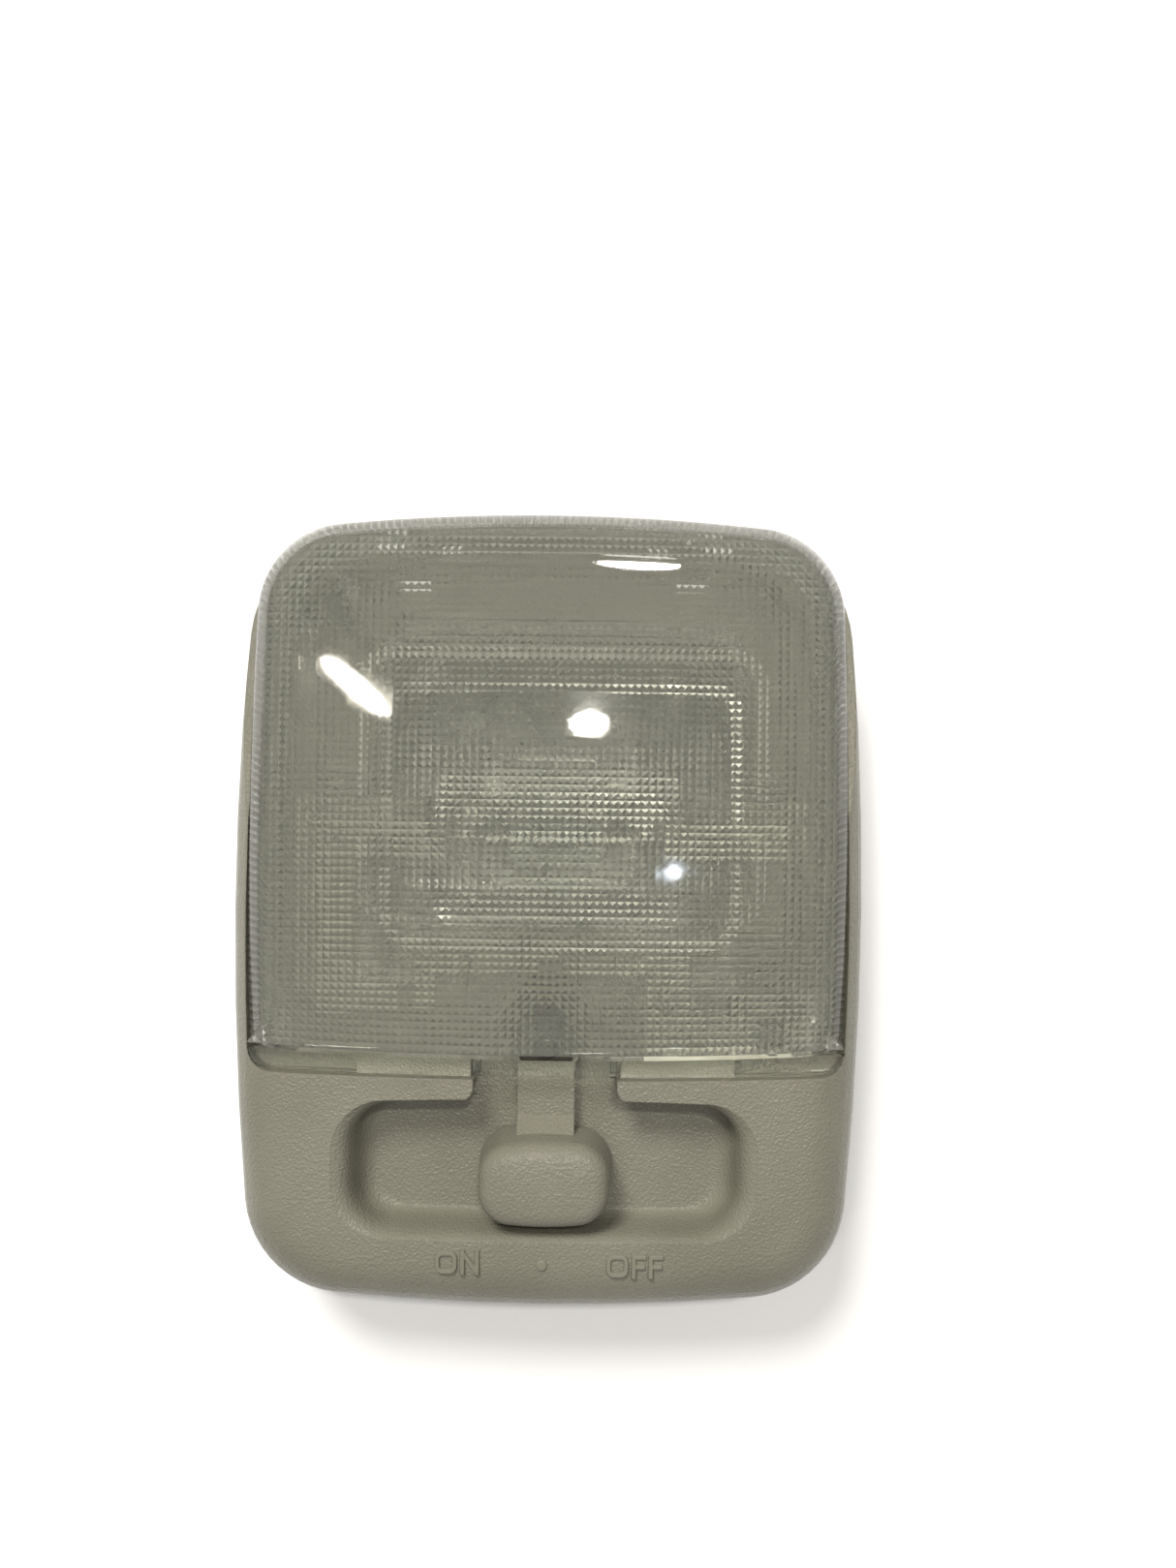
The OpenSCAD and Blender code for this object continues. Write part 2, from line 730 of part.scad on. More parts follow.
// Stamped strip on the back, from the pivot to the right bulb contact
module common_strip() {
    z = flange_z - strip_t;
    turn = [right_rivet[0], (bulb_at[1] - pivot_y) * 2];
    color(tinned) difference() {
        union() {
            translate([0, -pivot_y, z]) cylinder(r = 2.8, h = strip_t);
            bar([0, -pivot_y], [4, turn[1]], 3.4, z);
            bar([4, turn[1]], turn, 4, z);
            bar(turn, right_rivet, 5, z);
        }
        translate([0, -pivot_y, 0]) cylinder(r = pivot_r, h = crest_z);
        translate([right_rivet[0], right_rivet[1], 0]) cylinder(r = 1, h = crest_z);
    }
}

// Places of the rivets and the two blades
feed_x = 13.1 - lens_x;
blade_feed = [connector_at[0] - 3.6, connector_at[1]];
blade_door = [connector_at[0] + 3.6, connector_at[1]];
left_rivet = [feed_x, bulb_at[1]];
right_rivet = [lens_x - 11.6, bulb_at[1]];
earth_rivet = [(platform_x + screw_low[0] - plate_x) / 2, -pivot_y + 7];
door_rivet = [-14, wiper_r - pivot_y - 0.4];

blade_w = 5;
blade_t = 0.8;
module terminal(at) {
    block([at[0] - blade_t / 2, at[1] - blade_w / 2, 3], [at[0] + blade_t / 2, at[1] + blade_w / 2, pad_z]);
}

module terminal_slots() {
    for (at = [blade_feed, blade_door])
        block(
            [at[0] - blade_t / 2, at[1] - blade_w / 2, flange_z - 2],
            [at[0] + blade_t / 2, at[1] + blade_w / 2, shelf_z + 1]
        );
}

module rivet_holes() {
    for (at = [left_rivet, right_rivet, earth_rivet, door_rivet])
        translate([at[0], at[1], flange_z - 2]) cylinder(r = 1, h = 5);
    translate([0, -pivot_y, flange_z - 2]) cylinder(r = pivot_r, h = crest_z);
}

// Spring contact for one end of the bulb: a foot on the shelf, an arm and an upright with a dimple
contact_w = 7;
module bulb_contact(rivet, side, lift) {
    tip = bulb_at[0] + side * (bulb_l / 2 - 0.6);
    z = shelf_z + lift;
    t = 0.5;
    difference() {
        translate([0, bulb_at[1] + contact_w / 2, 0]) rotate([90, 0, 0]) linear_extrude(contact_w)
            polygon([
                [rivet[0] + side * 3, z], [rivet[0] + side * 3, z + t],
                [tip + side * (t + 1.6), z + t], [tip + side * t, z + t + 1.4],
                [tip + side * (t + 0.6), z + 5], [tip + side * 0.6, z + 5.2],
                [tip, z + 1.4], [tip, z - 4], [tip + side * t, z - 4.4],
                [tip + side * t, z - 0.6], [tip + side * (t + 1), z]
            ]);
        translate([tip - 3, bulb_at[1], bulb_at[2]]) rotate([0, 90, 0]) cylinder(r = 1.7, h = 6);
        translate([rivet[0], rivet[1], 0]) cylinder(r = 1, h = crest_z);
    }
}

module bulb_contact_left() {
    color(tinned) bulb_contact(left_rivet, -1, strip_t);
}

module bulb_contact_right() {
    color(tinned) bulb_contact(right_rivet, 1, 0);
}

cap_l = 8;
module along_bulb() {
    translate(bulb_at) rotate([0, 90, 0]) children();
}

// Half outline of the glass: round shoulders of radius r run into a neck that ends at reach
cap_t = 0.5;
glass_t = 0.8;
module glass_outline(r, neck, reach) {
    half = bulb_l / 2 - cap_l - 1;
    shoulder = sqrt(r * r - neck * neck);
    translate([0, -reach]) square([neck, 2 * reach]);
    intersection() {
        translate([0, -half]) square([r, 2 * half]);
        union() {
            translate([0, shoulder - half]) square([r, 2 * (half - shoulder)]);
            for (side = [-1, 1])
                translate([0, side * (half - shoulder)]) circle(r);
        }
    }
}

module bulb_glass() {
    reach = bulb_l / 2 - cap_l + 1.4;
    neck = cap_r - cap_t - 0.05;
    color(glass) along_bulb() rotate_extrude() difference() {
        glass_outline(bulb_r, neck, reach);
        glass_outline(bulb_r - glass_t, neck - glass_t, reach - glass_t);
    }
}

// Coiled filament on its two lead wires
module bulb_filament() {
    half = bulb_l / 2 - cap_l + 1.4 - glass_t;
    color(steel) along_bulb() {
        translate([0, 0, -half]) cylinder(r = 0.25, h = 2 * half);
        translate([0, 0, -4]) cylinder(r = 0.5, h = 8);
    }
}

module bulb_cap(side) {
    half = bulb_l / 2 - cap_l;
    color(tinned) along_bulb() mirror([0, 0, side > 0 ? 0 : 1]) translate([0, 0, half])
        rotate_extrude() polygon([
            [0, 1.45], [cap_r - cap_t, 1.45], [cap_r - cap_t, -0.8], [cap_r, -0.8], [cap_r, 2.6],
            [cap_r - 1.2, 5], [2.2, 5.8], [1.2, cap_l - 0.2], [0, cap_l]
        ]);
}

module bulb_cap_left() {
    bulb_cap(-1);
}

module bulb_cap_right() {
    bulb_cap(1);
}

// Pressed bright bowl, hung in the shelf by its flange
module reflector() {
    color("silver") difference() {
        union() {
            bowl(-tray_gap, bowl_z + tray_gap, shelf_z);
            translate([0, 0, shelf_z - tray_t]) linear_extrude(tray_t) bowl_rim(tray_flange);
        }
        bowl(-tray_gap - tray_t, bowl_z + tray_gap + tray_t, shelf_z + 0.2);
    }
}

module strip_rivet(at, foot_z, head_z) {
    color(tinned) translate([at[0], at[1], 0]) tube_rivet(1, foot_z, head_z, 2, 0.5, 1.8, 0.5);
}

module rivet_bulb_left() {
    strip_rivet(left_rivet, flange_z, pad_z + 0.5);
}

module rivet_bulb_right() {
    strip_rivet(right_rivet, flange_z - strip_t, shelf_z + 0.5);
}

module rivet_earth() {
    strip_rivet(earth_rivet, flange_z, pad_z);
}

module rivet_door() {
    strip_rivet(door_rivet, flange_z, pad_z);
}

housing();
back_skirt_left();
back_skirt_right();
screw_well();
screw_boss();
connector_shroud();
lens();
switch_lever();
pivot_rivet();
pivot_washer();
wiper_contact();
earth_strip();
feed_strip();
door_strip();
common_strip();
bulb_contact_left();
bulb_contact_right();
bulb_glass();
bulb_filament();
bulb_cap_left();
bulb_cap_right();
reflector();
rivet_bulb_left();
rivet_bulb_right();
rivet_earth();
rivet_door();
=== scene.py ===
import math

import bpy
import mathutils
import numpy as np
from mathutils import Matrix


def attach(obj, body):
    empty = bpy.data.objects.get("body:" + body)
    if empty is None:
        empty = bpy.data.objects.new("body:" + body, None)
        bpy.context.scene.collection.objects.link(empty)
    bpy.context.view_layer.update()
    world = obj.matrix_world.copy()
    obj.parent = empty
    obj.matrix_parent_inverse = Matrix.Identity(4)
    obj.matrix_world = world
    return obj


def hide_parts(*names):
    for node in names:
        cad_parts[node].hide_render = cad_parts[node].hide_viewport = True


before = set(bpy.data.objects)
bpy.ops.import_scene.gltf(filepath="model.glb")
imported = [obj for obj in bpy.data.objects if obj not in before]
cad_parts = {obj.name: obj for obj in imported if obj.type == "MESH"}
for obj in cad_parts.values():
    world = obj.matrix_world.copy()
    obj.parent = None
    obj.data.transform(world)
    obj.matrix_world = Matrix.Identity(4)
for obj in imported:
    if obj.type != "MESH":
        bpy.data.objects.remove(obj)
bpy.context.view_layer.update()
scene = bpy.context.scene
scene.view_settings.view_transform = "Standard"
mm = 0.001

# camera: held level over the lamp, a little right of its middle and nearer its top end
viewpoint = {
    "place": (6.67, 22.05, 227.7), "turn": 0.72, "lens": 27.04, "sensor": 36, "near": 10,
}

camera = bpy.data.objects.new("camera", bpy.data.cameras.new("camera"))
scene.collection.objects.link(camera)
camera.location = [v * mm for v in viewpoint["place"]]
camera.rotation_euler = (0, 0, math.radians(viewpoint["turn"]))
camera.data.lens = viewpoint["lens"]
camera.data.sensor_width = viewpoint["sensor"]
camera.data.clip_start = viewpoint["near"] * mm
scene.camera = camera
print("camera stands at", viewpoint["place"])


# sRGB hex to the linear colour that a shader takes
def linear(hexText):
    parts = [int(hexText[i:i + 2], 16) / 255 for i in (1, 3, 5)]
    return [p / 12.92 if p <= 0.04045 else ((p + 0.055) / 1.055) ** 2.4 for p in parts] + [1.0]


# one node with its settings; an input given as a socket is linked, anything else is its value
def put(tree, kind, inputs=None, **settings):
    made = tree.nodes.new(kind)
    for name, value in settings.items():
        setattr(made, name, value)
    for name, value in (inputs or {}).items():
        if isinstance(value, bpy.types.NodeSocket):
            tree.links.new(value, made.inputs[name])
        else:
            made.inputs[name].default_value = value
    return made


def newMaterial(name):
    material = bpy.data.materials.new(name)
    material.use_nodes = True
    material.node_tree.nodes.clear()
    return material, material.node_tree


# moulded polypropylene, spark-eroded leather grain: a soft sheen broken into small pebbles.
# pebble, wrinkle, fine and cloud are the widths of its patterns and relief their depth, in mm.
grain = {
    "tone": "#7e7c6f", "shade": "#767467", "pebble": 0.5, "merge": 0.6, "wrinkle": 1.1,
    "bend": 0.0004, "fine": 0.35, "fineShare": 0.45, "cloud": 22, "relief": 0.22,
    "rough": 0.31, "round": 0.3, "ior": 1.49, "satinRelief": 0.033, "satinRough": 0.38,
}


# Rounded cells bent by a coarser noise and mixed with a finer one give the height; a wide noise
# moves the tone between two close colours
def mouldedPlastic(name, relief, rough):
    g = grain
    material, tree = newMaterial(name)
    coords = put(tree, "ShaderNodeTexCoord").outputs["Object"]
    warp = put(
        tree, "ShaderNodeTexNoise",
        {"Vector": coords, "Scale": 1 / (g["wrinkle"] * mm), "Detail": 2.0},
    )
    bent = put(
        tree, "ShaderNodeMixRGB",
        {"Fac": g["bend"], "Color1": coords, "Color2": warp.outputs["Color"]},
    )
    pebbles = put(
        tree, "ShaderNodeTexVoronoi",
        {
            "Vector": bent.outputs["Color"], "Scale": 1 / (g["pebble"] * mm),
            "Smoothness": g["merge"],
        },
        feature="SMOOTH_F1",
    )
    fine = put(
        tree, "ShaderNodeTexNoise",
        {"Vector": coords, "Scale": 1 / (g["fine"] * mm), "Detail": 2.0},
    )
    height = put(
        tree, "ShaderNodeMixRGB",
        {
            "Fac": g["fineShare"], "Color1": pebbles.outputs["Distance"],
            "Color2": fine.outputs["Fac"],
        },
    )
    rounded = put(tree, "ShaderNodeBevel", {"Radius": g["round"] * mm}, samples=4)
    bump = put(
        tree, "ShaderNodeBump",
        {
            "Height": height.outputs["Color"], "Distance": relief * mm, "Strength": 1.0,
            "Normal": rounded.outputs["Normal"],
        },
    )
    cloud = put(
        tree, "ShaderNodeTexNoise",
        {"Vector": coords, "Scale": 1 / (g["cloud"] * mm), "Detail": 3.0},
    )
    share = put(
        tree, "ShaderNodeMapRange",
        {"Value": cloud.outputs["Fac"], "From Min": 0.35, "From Max": 0.65},
    )
    tone = put(
        tree, "ShaderNodeMixRGB",
        {
            "Fac": share.outputs["Result"], "Color1": linear(g["shade"]),
            "Color2": linear(g["tone"]),
        },
    )
    shader = put(
        tree, "ShaderNodeBsdfPrincipled",
        {
            "Base Color": tone.outputs["Color"], "Roughness": rough, "IOR": g["ior"],
            "Normal": bump.outputs["Normal"],
        },
    )
    put(tree, "ShaderNodeOutputMaterial", {"Surface": shader.outputs["BSDF"]})
    return material


# injection-moulded acrylic, polished mould: clear and slightly grey, with a faint orange peel that
# breaks up the edges of its highlights. haze is the share of a face that is matt with dust.
acrylic = {
    "tint": "#f5f6f4", "rough": 0.02, "ior": 1.49, "peel": 0.0012, "peelWide": 0.25,
    "deep": "#d0d0ce", "haze": 0.43, "hazeTone": "#94938b",
}


# Shadow rays pass through, so what lies behind is lit
def clearPlastic(name, tint, rough, ior, peel=0.0, haze=0.0):
    material, tree = newMaterial(name)
    shader = put(
        tree, "ShaderNodeBsdfPrincipled",
        {"Base Color": linear(tint), "Roughness": rough, "IOR": ior, "Transmission Weight": 1.0},
    )
    if peel:
        coords = put(tree, "ShaderNodeTexCoord").outputs["Object"]
        noise = put(
            tree, "ShaderNodeTexNoise",
            {"Vector": coords, "Scale": 1 / (acrylic["peelWide"] * mm), "Detail": 1.0},
        )
        bump = put(
            tree, "ShaderNodeBump",
            {"Height": noise.outputs["Fac"], "Distance": peel * mm, "Strength": 1.0},
        )
        tree.links.new(bump.outputs["Normal"], shader.inputs["Normal"])
    seen = shader.outputs["BSDF"]
    if haze:
        dust = put(tree, "ShaderNodeBsdfDiffuse", {"Color": linear(acrylic["hazeTone"])})
        dusty = put(tree, "ShaderNodeMixShader", {0: haze, 1: seen, 2: dust.outputs["BSDF"]})
        seen = dusty.outputs["Shader"]
    through = put(tree, "ShaderNodeBsdfTransparent", {"Color": linear(tint)})
    rays = put(tree, "ShaderNodeLightPath")
    mixed = put(
        tree, "ShaderNodeMixShader",
        {0: rays.outputs["Is Shadow Ray"], 1: seen, 2: through.outputs["BSDF"]},
    )
    put(tree, "ShaderNodeOutputMaterial", {"Surface": mixed.outputs["Shader"]})
    return material


# Metal whose roughness goes from 0.8 to 1.3 of the given one with a noise streak mm wide
def sheetMetal(name, tone, rough, streak):
    material, tree = newMaterial(name)
    coords = put(tree, "ShaderNodeTexCoord").outputs["Object"]
    noise = put(
        tree, "ShaderNodeTexNoise",
        {"Vector": coords, "Scale": 1 / (streak * mm), "Detail": 3.0},
    )
    gloss = put(
        tree, "ShaderNodeMapRange",
        {
            "Value": noise.outputs["Fac"], "From Min": 0.3, "From Max": 0.7,
            "To Min": rough * 0.8, "To Max": rough * 1.3,
        },
    )
    shader = put(
        tree, "ShaderNodeBsdfPrincipled",
        {"Base Color": linear(tone), "Roughness": gloss.outputs["Result"], "Metallic": 1.0},
    )
    put(tree, "ShaderNodeOutputMaterial", {"Surface": shader.outputs["BSDF"]})
    return material


grainedPlastic = mouldedPlastic(
    "polypropylene moulded leather grain", grain["relief"], grain["rough"],
)
# the mould is nearly smooth at the raised marks: almost no grain, and a slightly duller sheen
smoothPlastic = mouldedPlastic(
    "polypropylene moulded satin", grain["satinRelief"], grain["satinRough"],
)
lensAcrylic = clearPlastic(
    "acrylic moulded clear", acrylic["tint"], acrylic["rough"], acrylic["ior"], acrylic["peel"],
)
# the prism faces are a little dull, so each face shows how it stands to the light
prismAcrylic = clearPlastic(
    "acrylic moulded prisms dusty", acrylic["deep"], acrylic["rough"], acrylic["ior"],
    haze=acrylic["haze"],
)
# blown glass: no colour of its own, and sharp highlights
bulbGlass = clearPlastic("soda glass blown clear", "#f6f8f6", 0.0, 1.5)
# tin plate: pale grey with blurred reflections
tinnedSteel = sheetMetal("steel strip tinned stamped", "#b4b2a6", 0.34, 3)
# turned steel, nearly black with a dull sheen: its near-black tone is painted shade for the dark
# hollow round the pivot
darkSteel = sheetMetal("steel turned dark painted pivot shade", "#2b2925", 0.5, 2)
# rolled brass gone dull: a brownish yellow
springBrass = sheetMetal("brass strip stamped dull", "#7b705a", 0.4, 3)
# bright pressed aluminium: the palest metal here, which throws light back at the lens
brightTray = sheetMetal("aluminium sheet pressed bright", "#c9c8c2", 0.3, 5)
# drawn wire: a thin dull grey line
tungsten = sheetMetal("tungsten drawn", "#77736e", 0.5, 1)
print("materials made")


# A mesh from points in millimetres and groups of faces with the same number of corners
def meshOf(name, points, groups, material, body, smooth=True):
    points = np.asarray(points, float).reshape(-1, 3) * mm
    data = bpy.data.meshes.new(name)
    counts = [len(g) for g in groups]
    corners = np.concatenate([np.asarray(g).ravel() for g in groups])
    sizes = np.concatenate([np.full(len(g), np.asarray(g).shape[1]) for g in groups])
    starts = np.concatenate([[0], np.cumsum(sizes)[:-1]])
    data.vertices.add(len(points))
    data.vertices.foreach_set("co", points.ravel())
    data.loops.add(len(corners))
    data.loops.foreach_set("vertex_index", corners.astype(np.int32))
    data.polygons.add(sum(counts))
    data.polygons.foreach_set("loop_start", starts.astype(np.int32))
    data.polygons.foreach_set("loop_total", sizes.astype(np.int32))
    flags = smooth if isinstance(smooth, np.ndarray) else np.full(sum(counts), bool(smooth))
    data.polygons.foreach_set("use_smooth", flags)
    data.update(calc_edges=True)
    data.validate()
    made = bpy.data.objects.new(name, data)
    scene.collection.objects.link(made)
    data.materials.append(material)
    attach(made, body)
    return made


# Quads between neighbouring rings of points, each ring closed on itself
def tubeFaces(rings, columns):
    i, j = np.meshgrid(np.arange(rings - 1), np.arange(columns), indexing="ij")
    k = (j + 1) % columns
    corners = [i * columns + j, i * columns + k, (i + 1) * columns + k, (i + 1) * columns + j]
    return np.stack(corners, -1).reshape(-1, 4)


# Triangles from each side of a ring to the point in its middle, facing up or down
def fanFaces(start, columns, centre, up):
    j = np.arange(columns)
    k = (j + 1) % columns
    ring = np.stack([start + j, start + k], -1)
    ring = ring if up else ring[:, ::-1]
    return np.concatenate([ring, np.full((columns, 1), centre)], 1)


# Several closed parts as one mesh: the face numbers of each follow those before it
def joined(parts):
    points, quads, tris, count = [], [], [], 0
    for pts, groups in parts:
        points.append(pts)
        for g in groups:
            (quads if g.shape[1] == 4 else tris).append(g + count)
        count += len(pts)
    return np.concatenate(points), [np.concatenate(g) for g in (quads, tris) if g]


# CAD pieces taken over as they are: corners closer than weld metres become one, and edges sharper
# than sharp degrees stay sharp
softForm = {"weld": 2e-6, "sharp": 34}


# The merged surface of a CAD piece, without the triangles that merging has closed up
def welded(node):
    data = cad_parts[node].data
    co = np.empty(len(data.vertices) * 3, np.float32)
    data.vertices.foreach_get("co", co)
    tri = np.empty(len(data.loops), np.int32)
    data.loops.foreach_get("vertex_index", tri)
    co = co.reshape(-1, 3)
    key = np.round(co / softForm["weld"]).astype(np.int64)
    first, back = np.unique(key, axis=0, return_index=True, return_inverse=True)[1:]
    tri = back.ravel()[tri].reshape(-1, 3)
    keep = (tri[:, 0] != tri[:, 1]) & (tri[:, 1] != tri[:, 2]) & (tri[:, 2] != tri[:, 0])
    return co[first] / mm, tri[keep]


# One smooth mesh that takes the place of CAD nodes
def softCopy(name, nodes, material, body):
    points, tris = joined([(pts, [tri]) for pts, tri in map(welded, nodes)])
    made = meshOf(name, points, tris, material, body)
    made.data.set_sharp_from_angle(angle=math.radians(softForm["sharp"]))
    weight = made.modifiers.new("weighted", "WEIGHTED_NORMAL")
    weight.keep_sharp = True
    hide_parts(*nodes)
    return made


# the moulding is one body: its front, skirt, screw well, boss and connector shroud in one mesh
moulding = (
    "housing", "back_skirt_left", "back_skirt_right", "screw_well", "screw_boss",
    "connector_shroud",
)
housingBody = softCopy("housingBody", moulding, grainedPlastic, "case")
print("housing made")

# The lens in mm. half and top are its reach, field and strip its lower edge without and with the
# clear strip, side, end and low the radii of its bowed edges. The crown sags over its spans, and
# the roll goes round the edge, with flutes on its inner face that end at fluteEnd degrees of it.
lensForm = {
    "half": 51.6, "top": 68.1, "field": 24.5, "strip": 28.4, "corner": 17.5, "lowCorner": 1.0,
    "side": 556.36, "end": 398.95, "low": 1110.0, "middle": 21.8,
    "foot": 20.0, "footEdge": 0.25, "innerEdge": 0.2,
    "crest": 32.0, "sagSide": 1.5, "sagEnd": 1.2, "spanSide": 42.6, "spanEnd": 37.3,
    "crownRings": (0.93, 0.8, 0.62, 0.42, 0.22, 0.08),
    "roll": 9.0, "drop": 6.2, "rollRings": 11, "wall": 0.6,
    "flutePitch": 1.3, "fluteInset": 3, "fluteDeep": 0.85, "fluteLean": 0.7, "fluteEnd": 44,
    "fluteFade": 10, "flutedRows": 7,
}
# above its foot the lens is a little wider towards the top end, where the rim beside it falls away
domeForm = {**lensForm, "half": 51.9, "top": 68.4, "corner": 15.5, "side": 1300.0}


# A quarter of the outline in tangent arcs: a side bowed on a large arc, a corner arc, and an end
# bowed on a large arc. The corner's middle is where the circles of side and end, both made smaller
# by the corner's radius, cross.
def arcQuarter(half, reach, corner, side, end, steps):
    c1, c2 = np.array([half - side, 0.0]), np.array([0.0, reach - end])
    d = np.linalg.norm(c2 - c1)
    e = (c2 - c1) / d
    m = ((side - corner) ** 2 - (end - corner) ** 2 + d * d) / (2 * d)
    h = math.sqrt((side - corner) ** 2 - m * m)
    p = c1 + m * e + h * np.array([-e[1], e[0]])
    a1 = math.atan2(p[1], p[0] - c1[0])
    a2 = math.atan2(p[1] - c2[1], p[0])
    t = np.linspace(0, 1, steps, endpoint=False)
    on = lambda c, r, a: np.stack([c[0] + r * np.cos(a), c[1] + r * np.sin(a)], -1)
    return np.concatenate([
        on(c1, side, a1 * t), on(p, corner, a1 + (a2 - a1) * t),
        on(c2, end, a2 + (math.pi / 2 - a2) * np.append(t, 1.0)),
    ])


# The closed outline taken in by d, with its lower edge left in place, as dense points
def lensOutline(d, steps=60, f=domeForm):
    half, side = f["half"] - d, f["side"] - d
    up = arcQuarter(half, f["top"] - d, f["corner"] - d, side, f["end"] - d, steps)
    down = arcQuarter(half, f["field"], f["lowCorner"], side, f["low"], steps)
    return np.concatenate([
        up[:-1], (up * [-1, 1])[::-1][:-1], (down * [-1, -1])[:-1], (down * [1, -1])[::-1][:-1],
    ])


# Length round a closed line
def perimeter(line):
    closed = np.concatenate([line, line[:1]])
    return float(np.linalg.norm(np.diff(closed, axis=0), axis=1).sum())


# Points at equal steps along a closed line, from its first point
def evenly(line, count):
    closed = np.concatenate([line, line[:1]])
    run = np.concatenate([[0], np.cumsum(np.linalg.norm(np.diff(closed, axis=0), axis=1))])
    want = np.linspace(0, run[-1], count, endpoint=False)
    return np.stack([np.interp(want, run, closed[:, 0]), np.interp(want, run, closed[:, 1])], -1)


# Height of the crown: the crest less a shallow parabola across and one along
def crownAt(x, y):
    f = lensForm
    across = f["sagSide"] * (x / f["spanSide"]) ** 2
    along = f["sagEnd"] * ((y - f["middle"]) / f["spanEnd"]) ** 2
    return f["crest"] - across - along


# Lens shell: rings of the outline from the foot up the wall, round the roll on a quarter circle
# and over the crown, then the same inside. On the inner rings of the roll every other column is
# set inwards, which makes the flutes.
def buildShell():
    f, w = lensForm, lensForm["wall"]
    columns = 2 * int(round(perimeter(lensOutline(f["fluteInset"])) / f["flutePitch"]))
    zig = np.where(np.arange(columns) % 2 == 0, 0.0, 1.0)[:, None]
    centre = np.array([0.0, f["middle"]])
    base = evenly(lensOutline(f["roll"]), columns)

    def footRing(d, z):
        return np.column_stack([evenly(lensOutline(d, f=f), columns), np.full(columns, z)])

    def rollRing(d, drop, fluted=0.0):
        plain = evenly(lensOutline(d), columns)
        flat, z = plain, crownAt(plain[:, 0], plain[:, 1]) - drop
        if fluted:
            flat = plain + (evenly(lensOutline(d + fluted), columns) - plain) * zig
            z = z - fluted * f["fluteLean"] * zig[:, 0]
        return np.column_stack([flat, z])

    def crownRing(share, depth):
        flat = centre + (base - centre) * share
        return np.column_stack([flat, crownAt(flat[:, 0], flat[:, 1]) - depth])

    outer = [footRing(f["footEdge"], f["foot"]), footRing(0.0, f["foot"] + f["footEdge"])]
    inner = [footRing(w - f["innerEdge"], f["foot"]), footRing(w, f["foot"] + f["innerEdge"])]
    for angle in np.linspace(0, 90, f["rollRings"]):
        t = math.radians(angle)
        over, down = 1 - math.cos(t), 1 - math.sin(t)
        fluted = f["fluteDeep"] * max(0.0, min(1.0, (f["fluteEnd"] - angle) / f["fluteFade"]))
        outer.append(rollRing(f["roll"] * over, f["drop"] * down))
        inner.append(rollRing(w + (f["roll"] - w) * over, w + (f["drop"] - w) * down, fluted))
    outer += [crownRing(share, 0.0) for share in f["crownRings"]]
    inner += [crownRing(share, w) for share in f["crownRings"]]
    rings = inner[::-1] + outer
    tips = [[[0, f["middle"], f["crest"] - w]], [[0, f["middle"], f["crest"]]]]
    points = np.concatenate(rings + tips)
    walls = tubeFaces(len(rings), columns)
    total = len(rings) * columns
    caps = np.concatenate([
        fanFaces(0, columns, total, False), fanFaces(total - columns, columns, total + 1, True),
    ])
    insideFaces = (len(inner) - 1) * columns
    smooth = np.arange(len(walls) + len(caps)) >= insideFaces
    made = meshOf(
        "lensShell", points, [walls, caps], lensAcrylic, "cover", smooth,
    )
    made.data.materials.append(prismAcrylic)
    finish = np.zeros(len(smooth), np.int32)
    finish[insideFaces - f["flutedRows"] * columns:insideFaces] = 1
    made.data.polygons.foreach_set("material_index", finish)
    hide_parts("lens")
    return made


lensShell = buildShell()
print("lens shell made", len(lensShell.data.polygons), "faces")

# Prisms: a square grid of four-sided pits in the underside of the crown, with a ridge between
# neighbours. The depth of each is its slope over half its width. reach is the size of the grid,
# gap the air to the shell, edge and lowEdge what stays plain at the border, and the rows follow
# the bow of the lower edge up to bowFade from it.
prismForm = {
    "pitch": 1.3, "slope": 30, "skin": 0.22, "gap": 0.02, "edge": 1.5, "lowEdge": 0.9,
    "reach": (104, 93), "bowFade": 13, "lowBand": 3, "lowGap": 0.3,
}


# How far points stand inside the lens's outline, less than nothing outside it: the distance to the
# nearest point of the dense outline, in twelve lots to spare memory. A point is inside if it is
# nearer the lens's middle than the outline is in its direction.
def insetOf(x, y):
    middle = lensForm["middle"]
    line = lensOutline(0, 120)
    flat = np.stack([x, y], -1).reshape(-1, 2)
    away = np.empty(len(flat))
    for lot in np.array_split(np.arange(len(flat)), 12):
        away[lot] = np.sqrt(((flat[lot][:, None] - line[None]) ** 2).sum(-1)).min(1)
    angle = np.arctan2(line[:, 1] - middle, line[:, 0])
    order = np.argsort(angle)
    reach = np.hypot(line[:, 0], line[:, 1] - middle)
    mine = np.arctan2(flat[:, 1] - middle, flat[:, 0])
    limit = np.interp(mine, angle[order], reach[order], period=2 * math.pi)
    inside = np.hypot(flat[:, 0], flat[:, 1] - middle) < limit
    return np.where(inside, away, -away).reshape(x.shape)


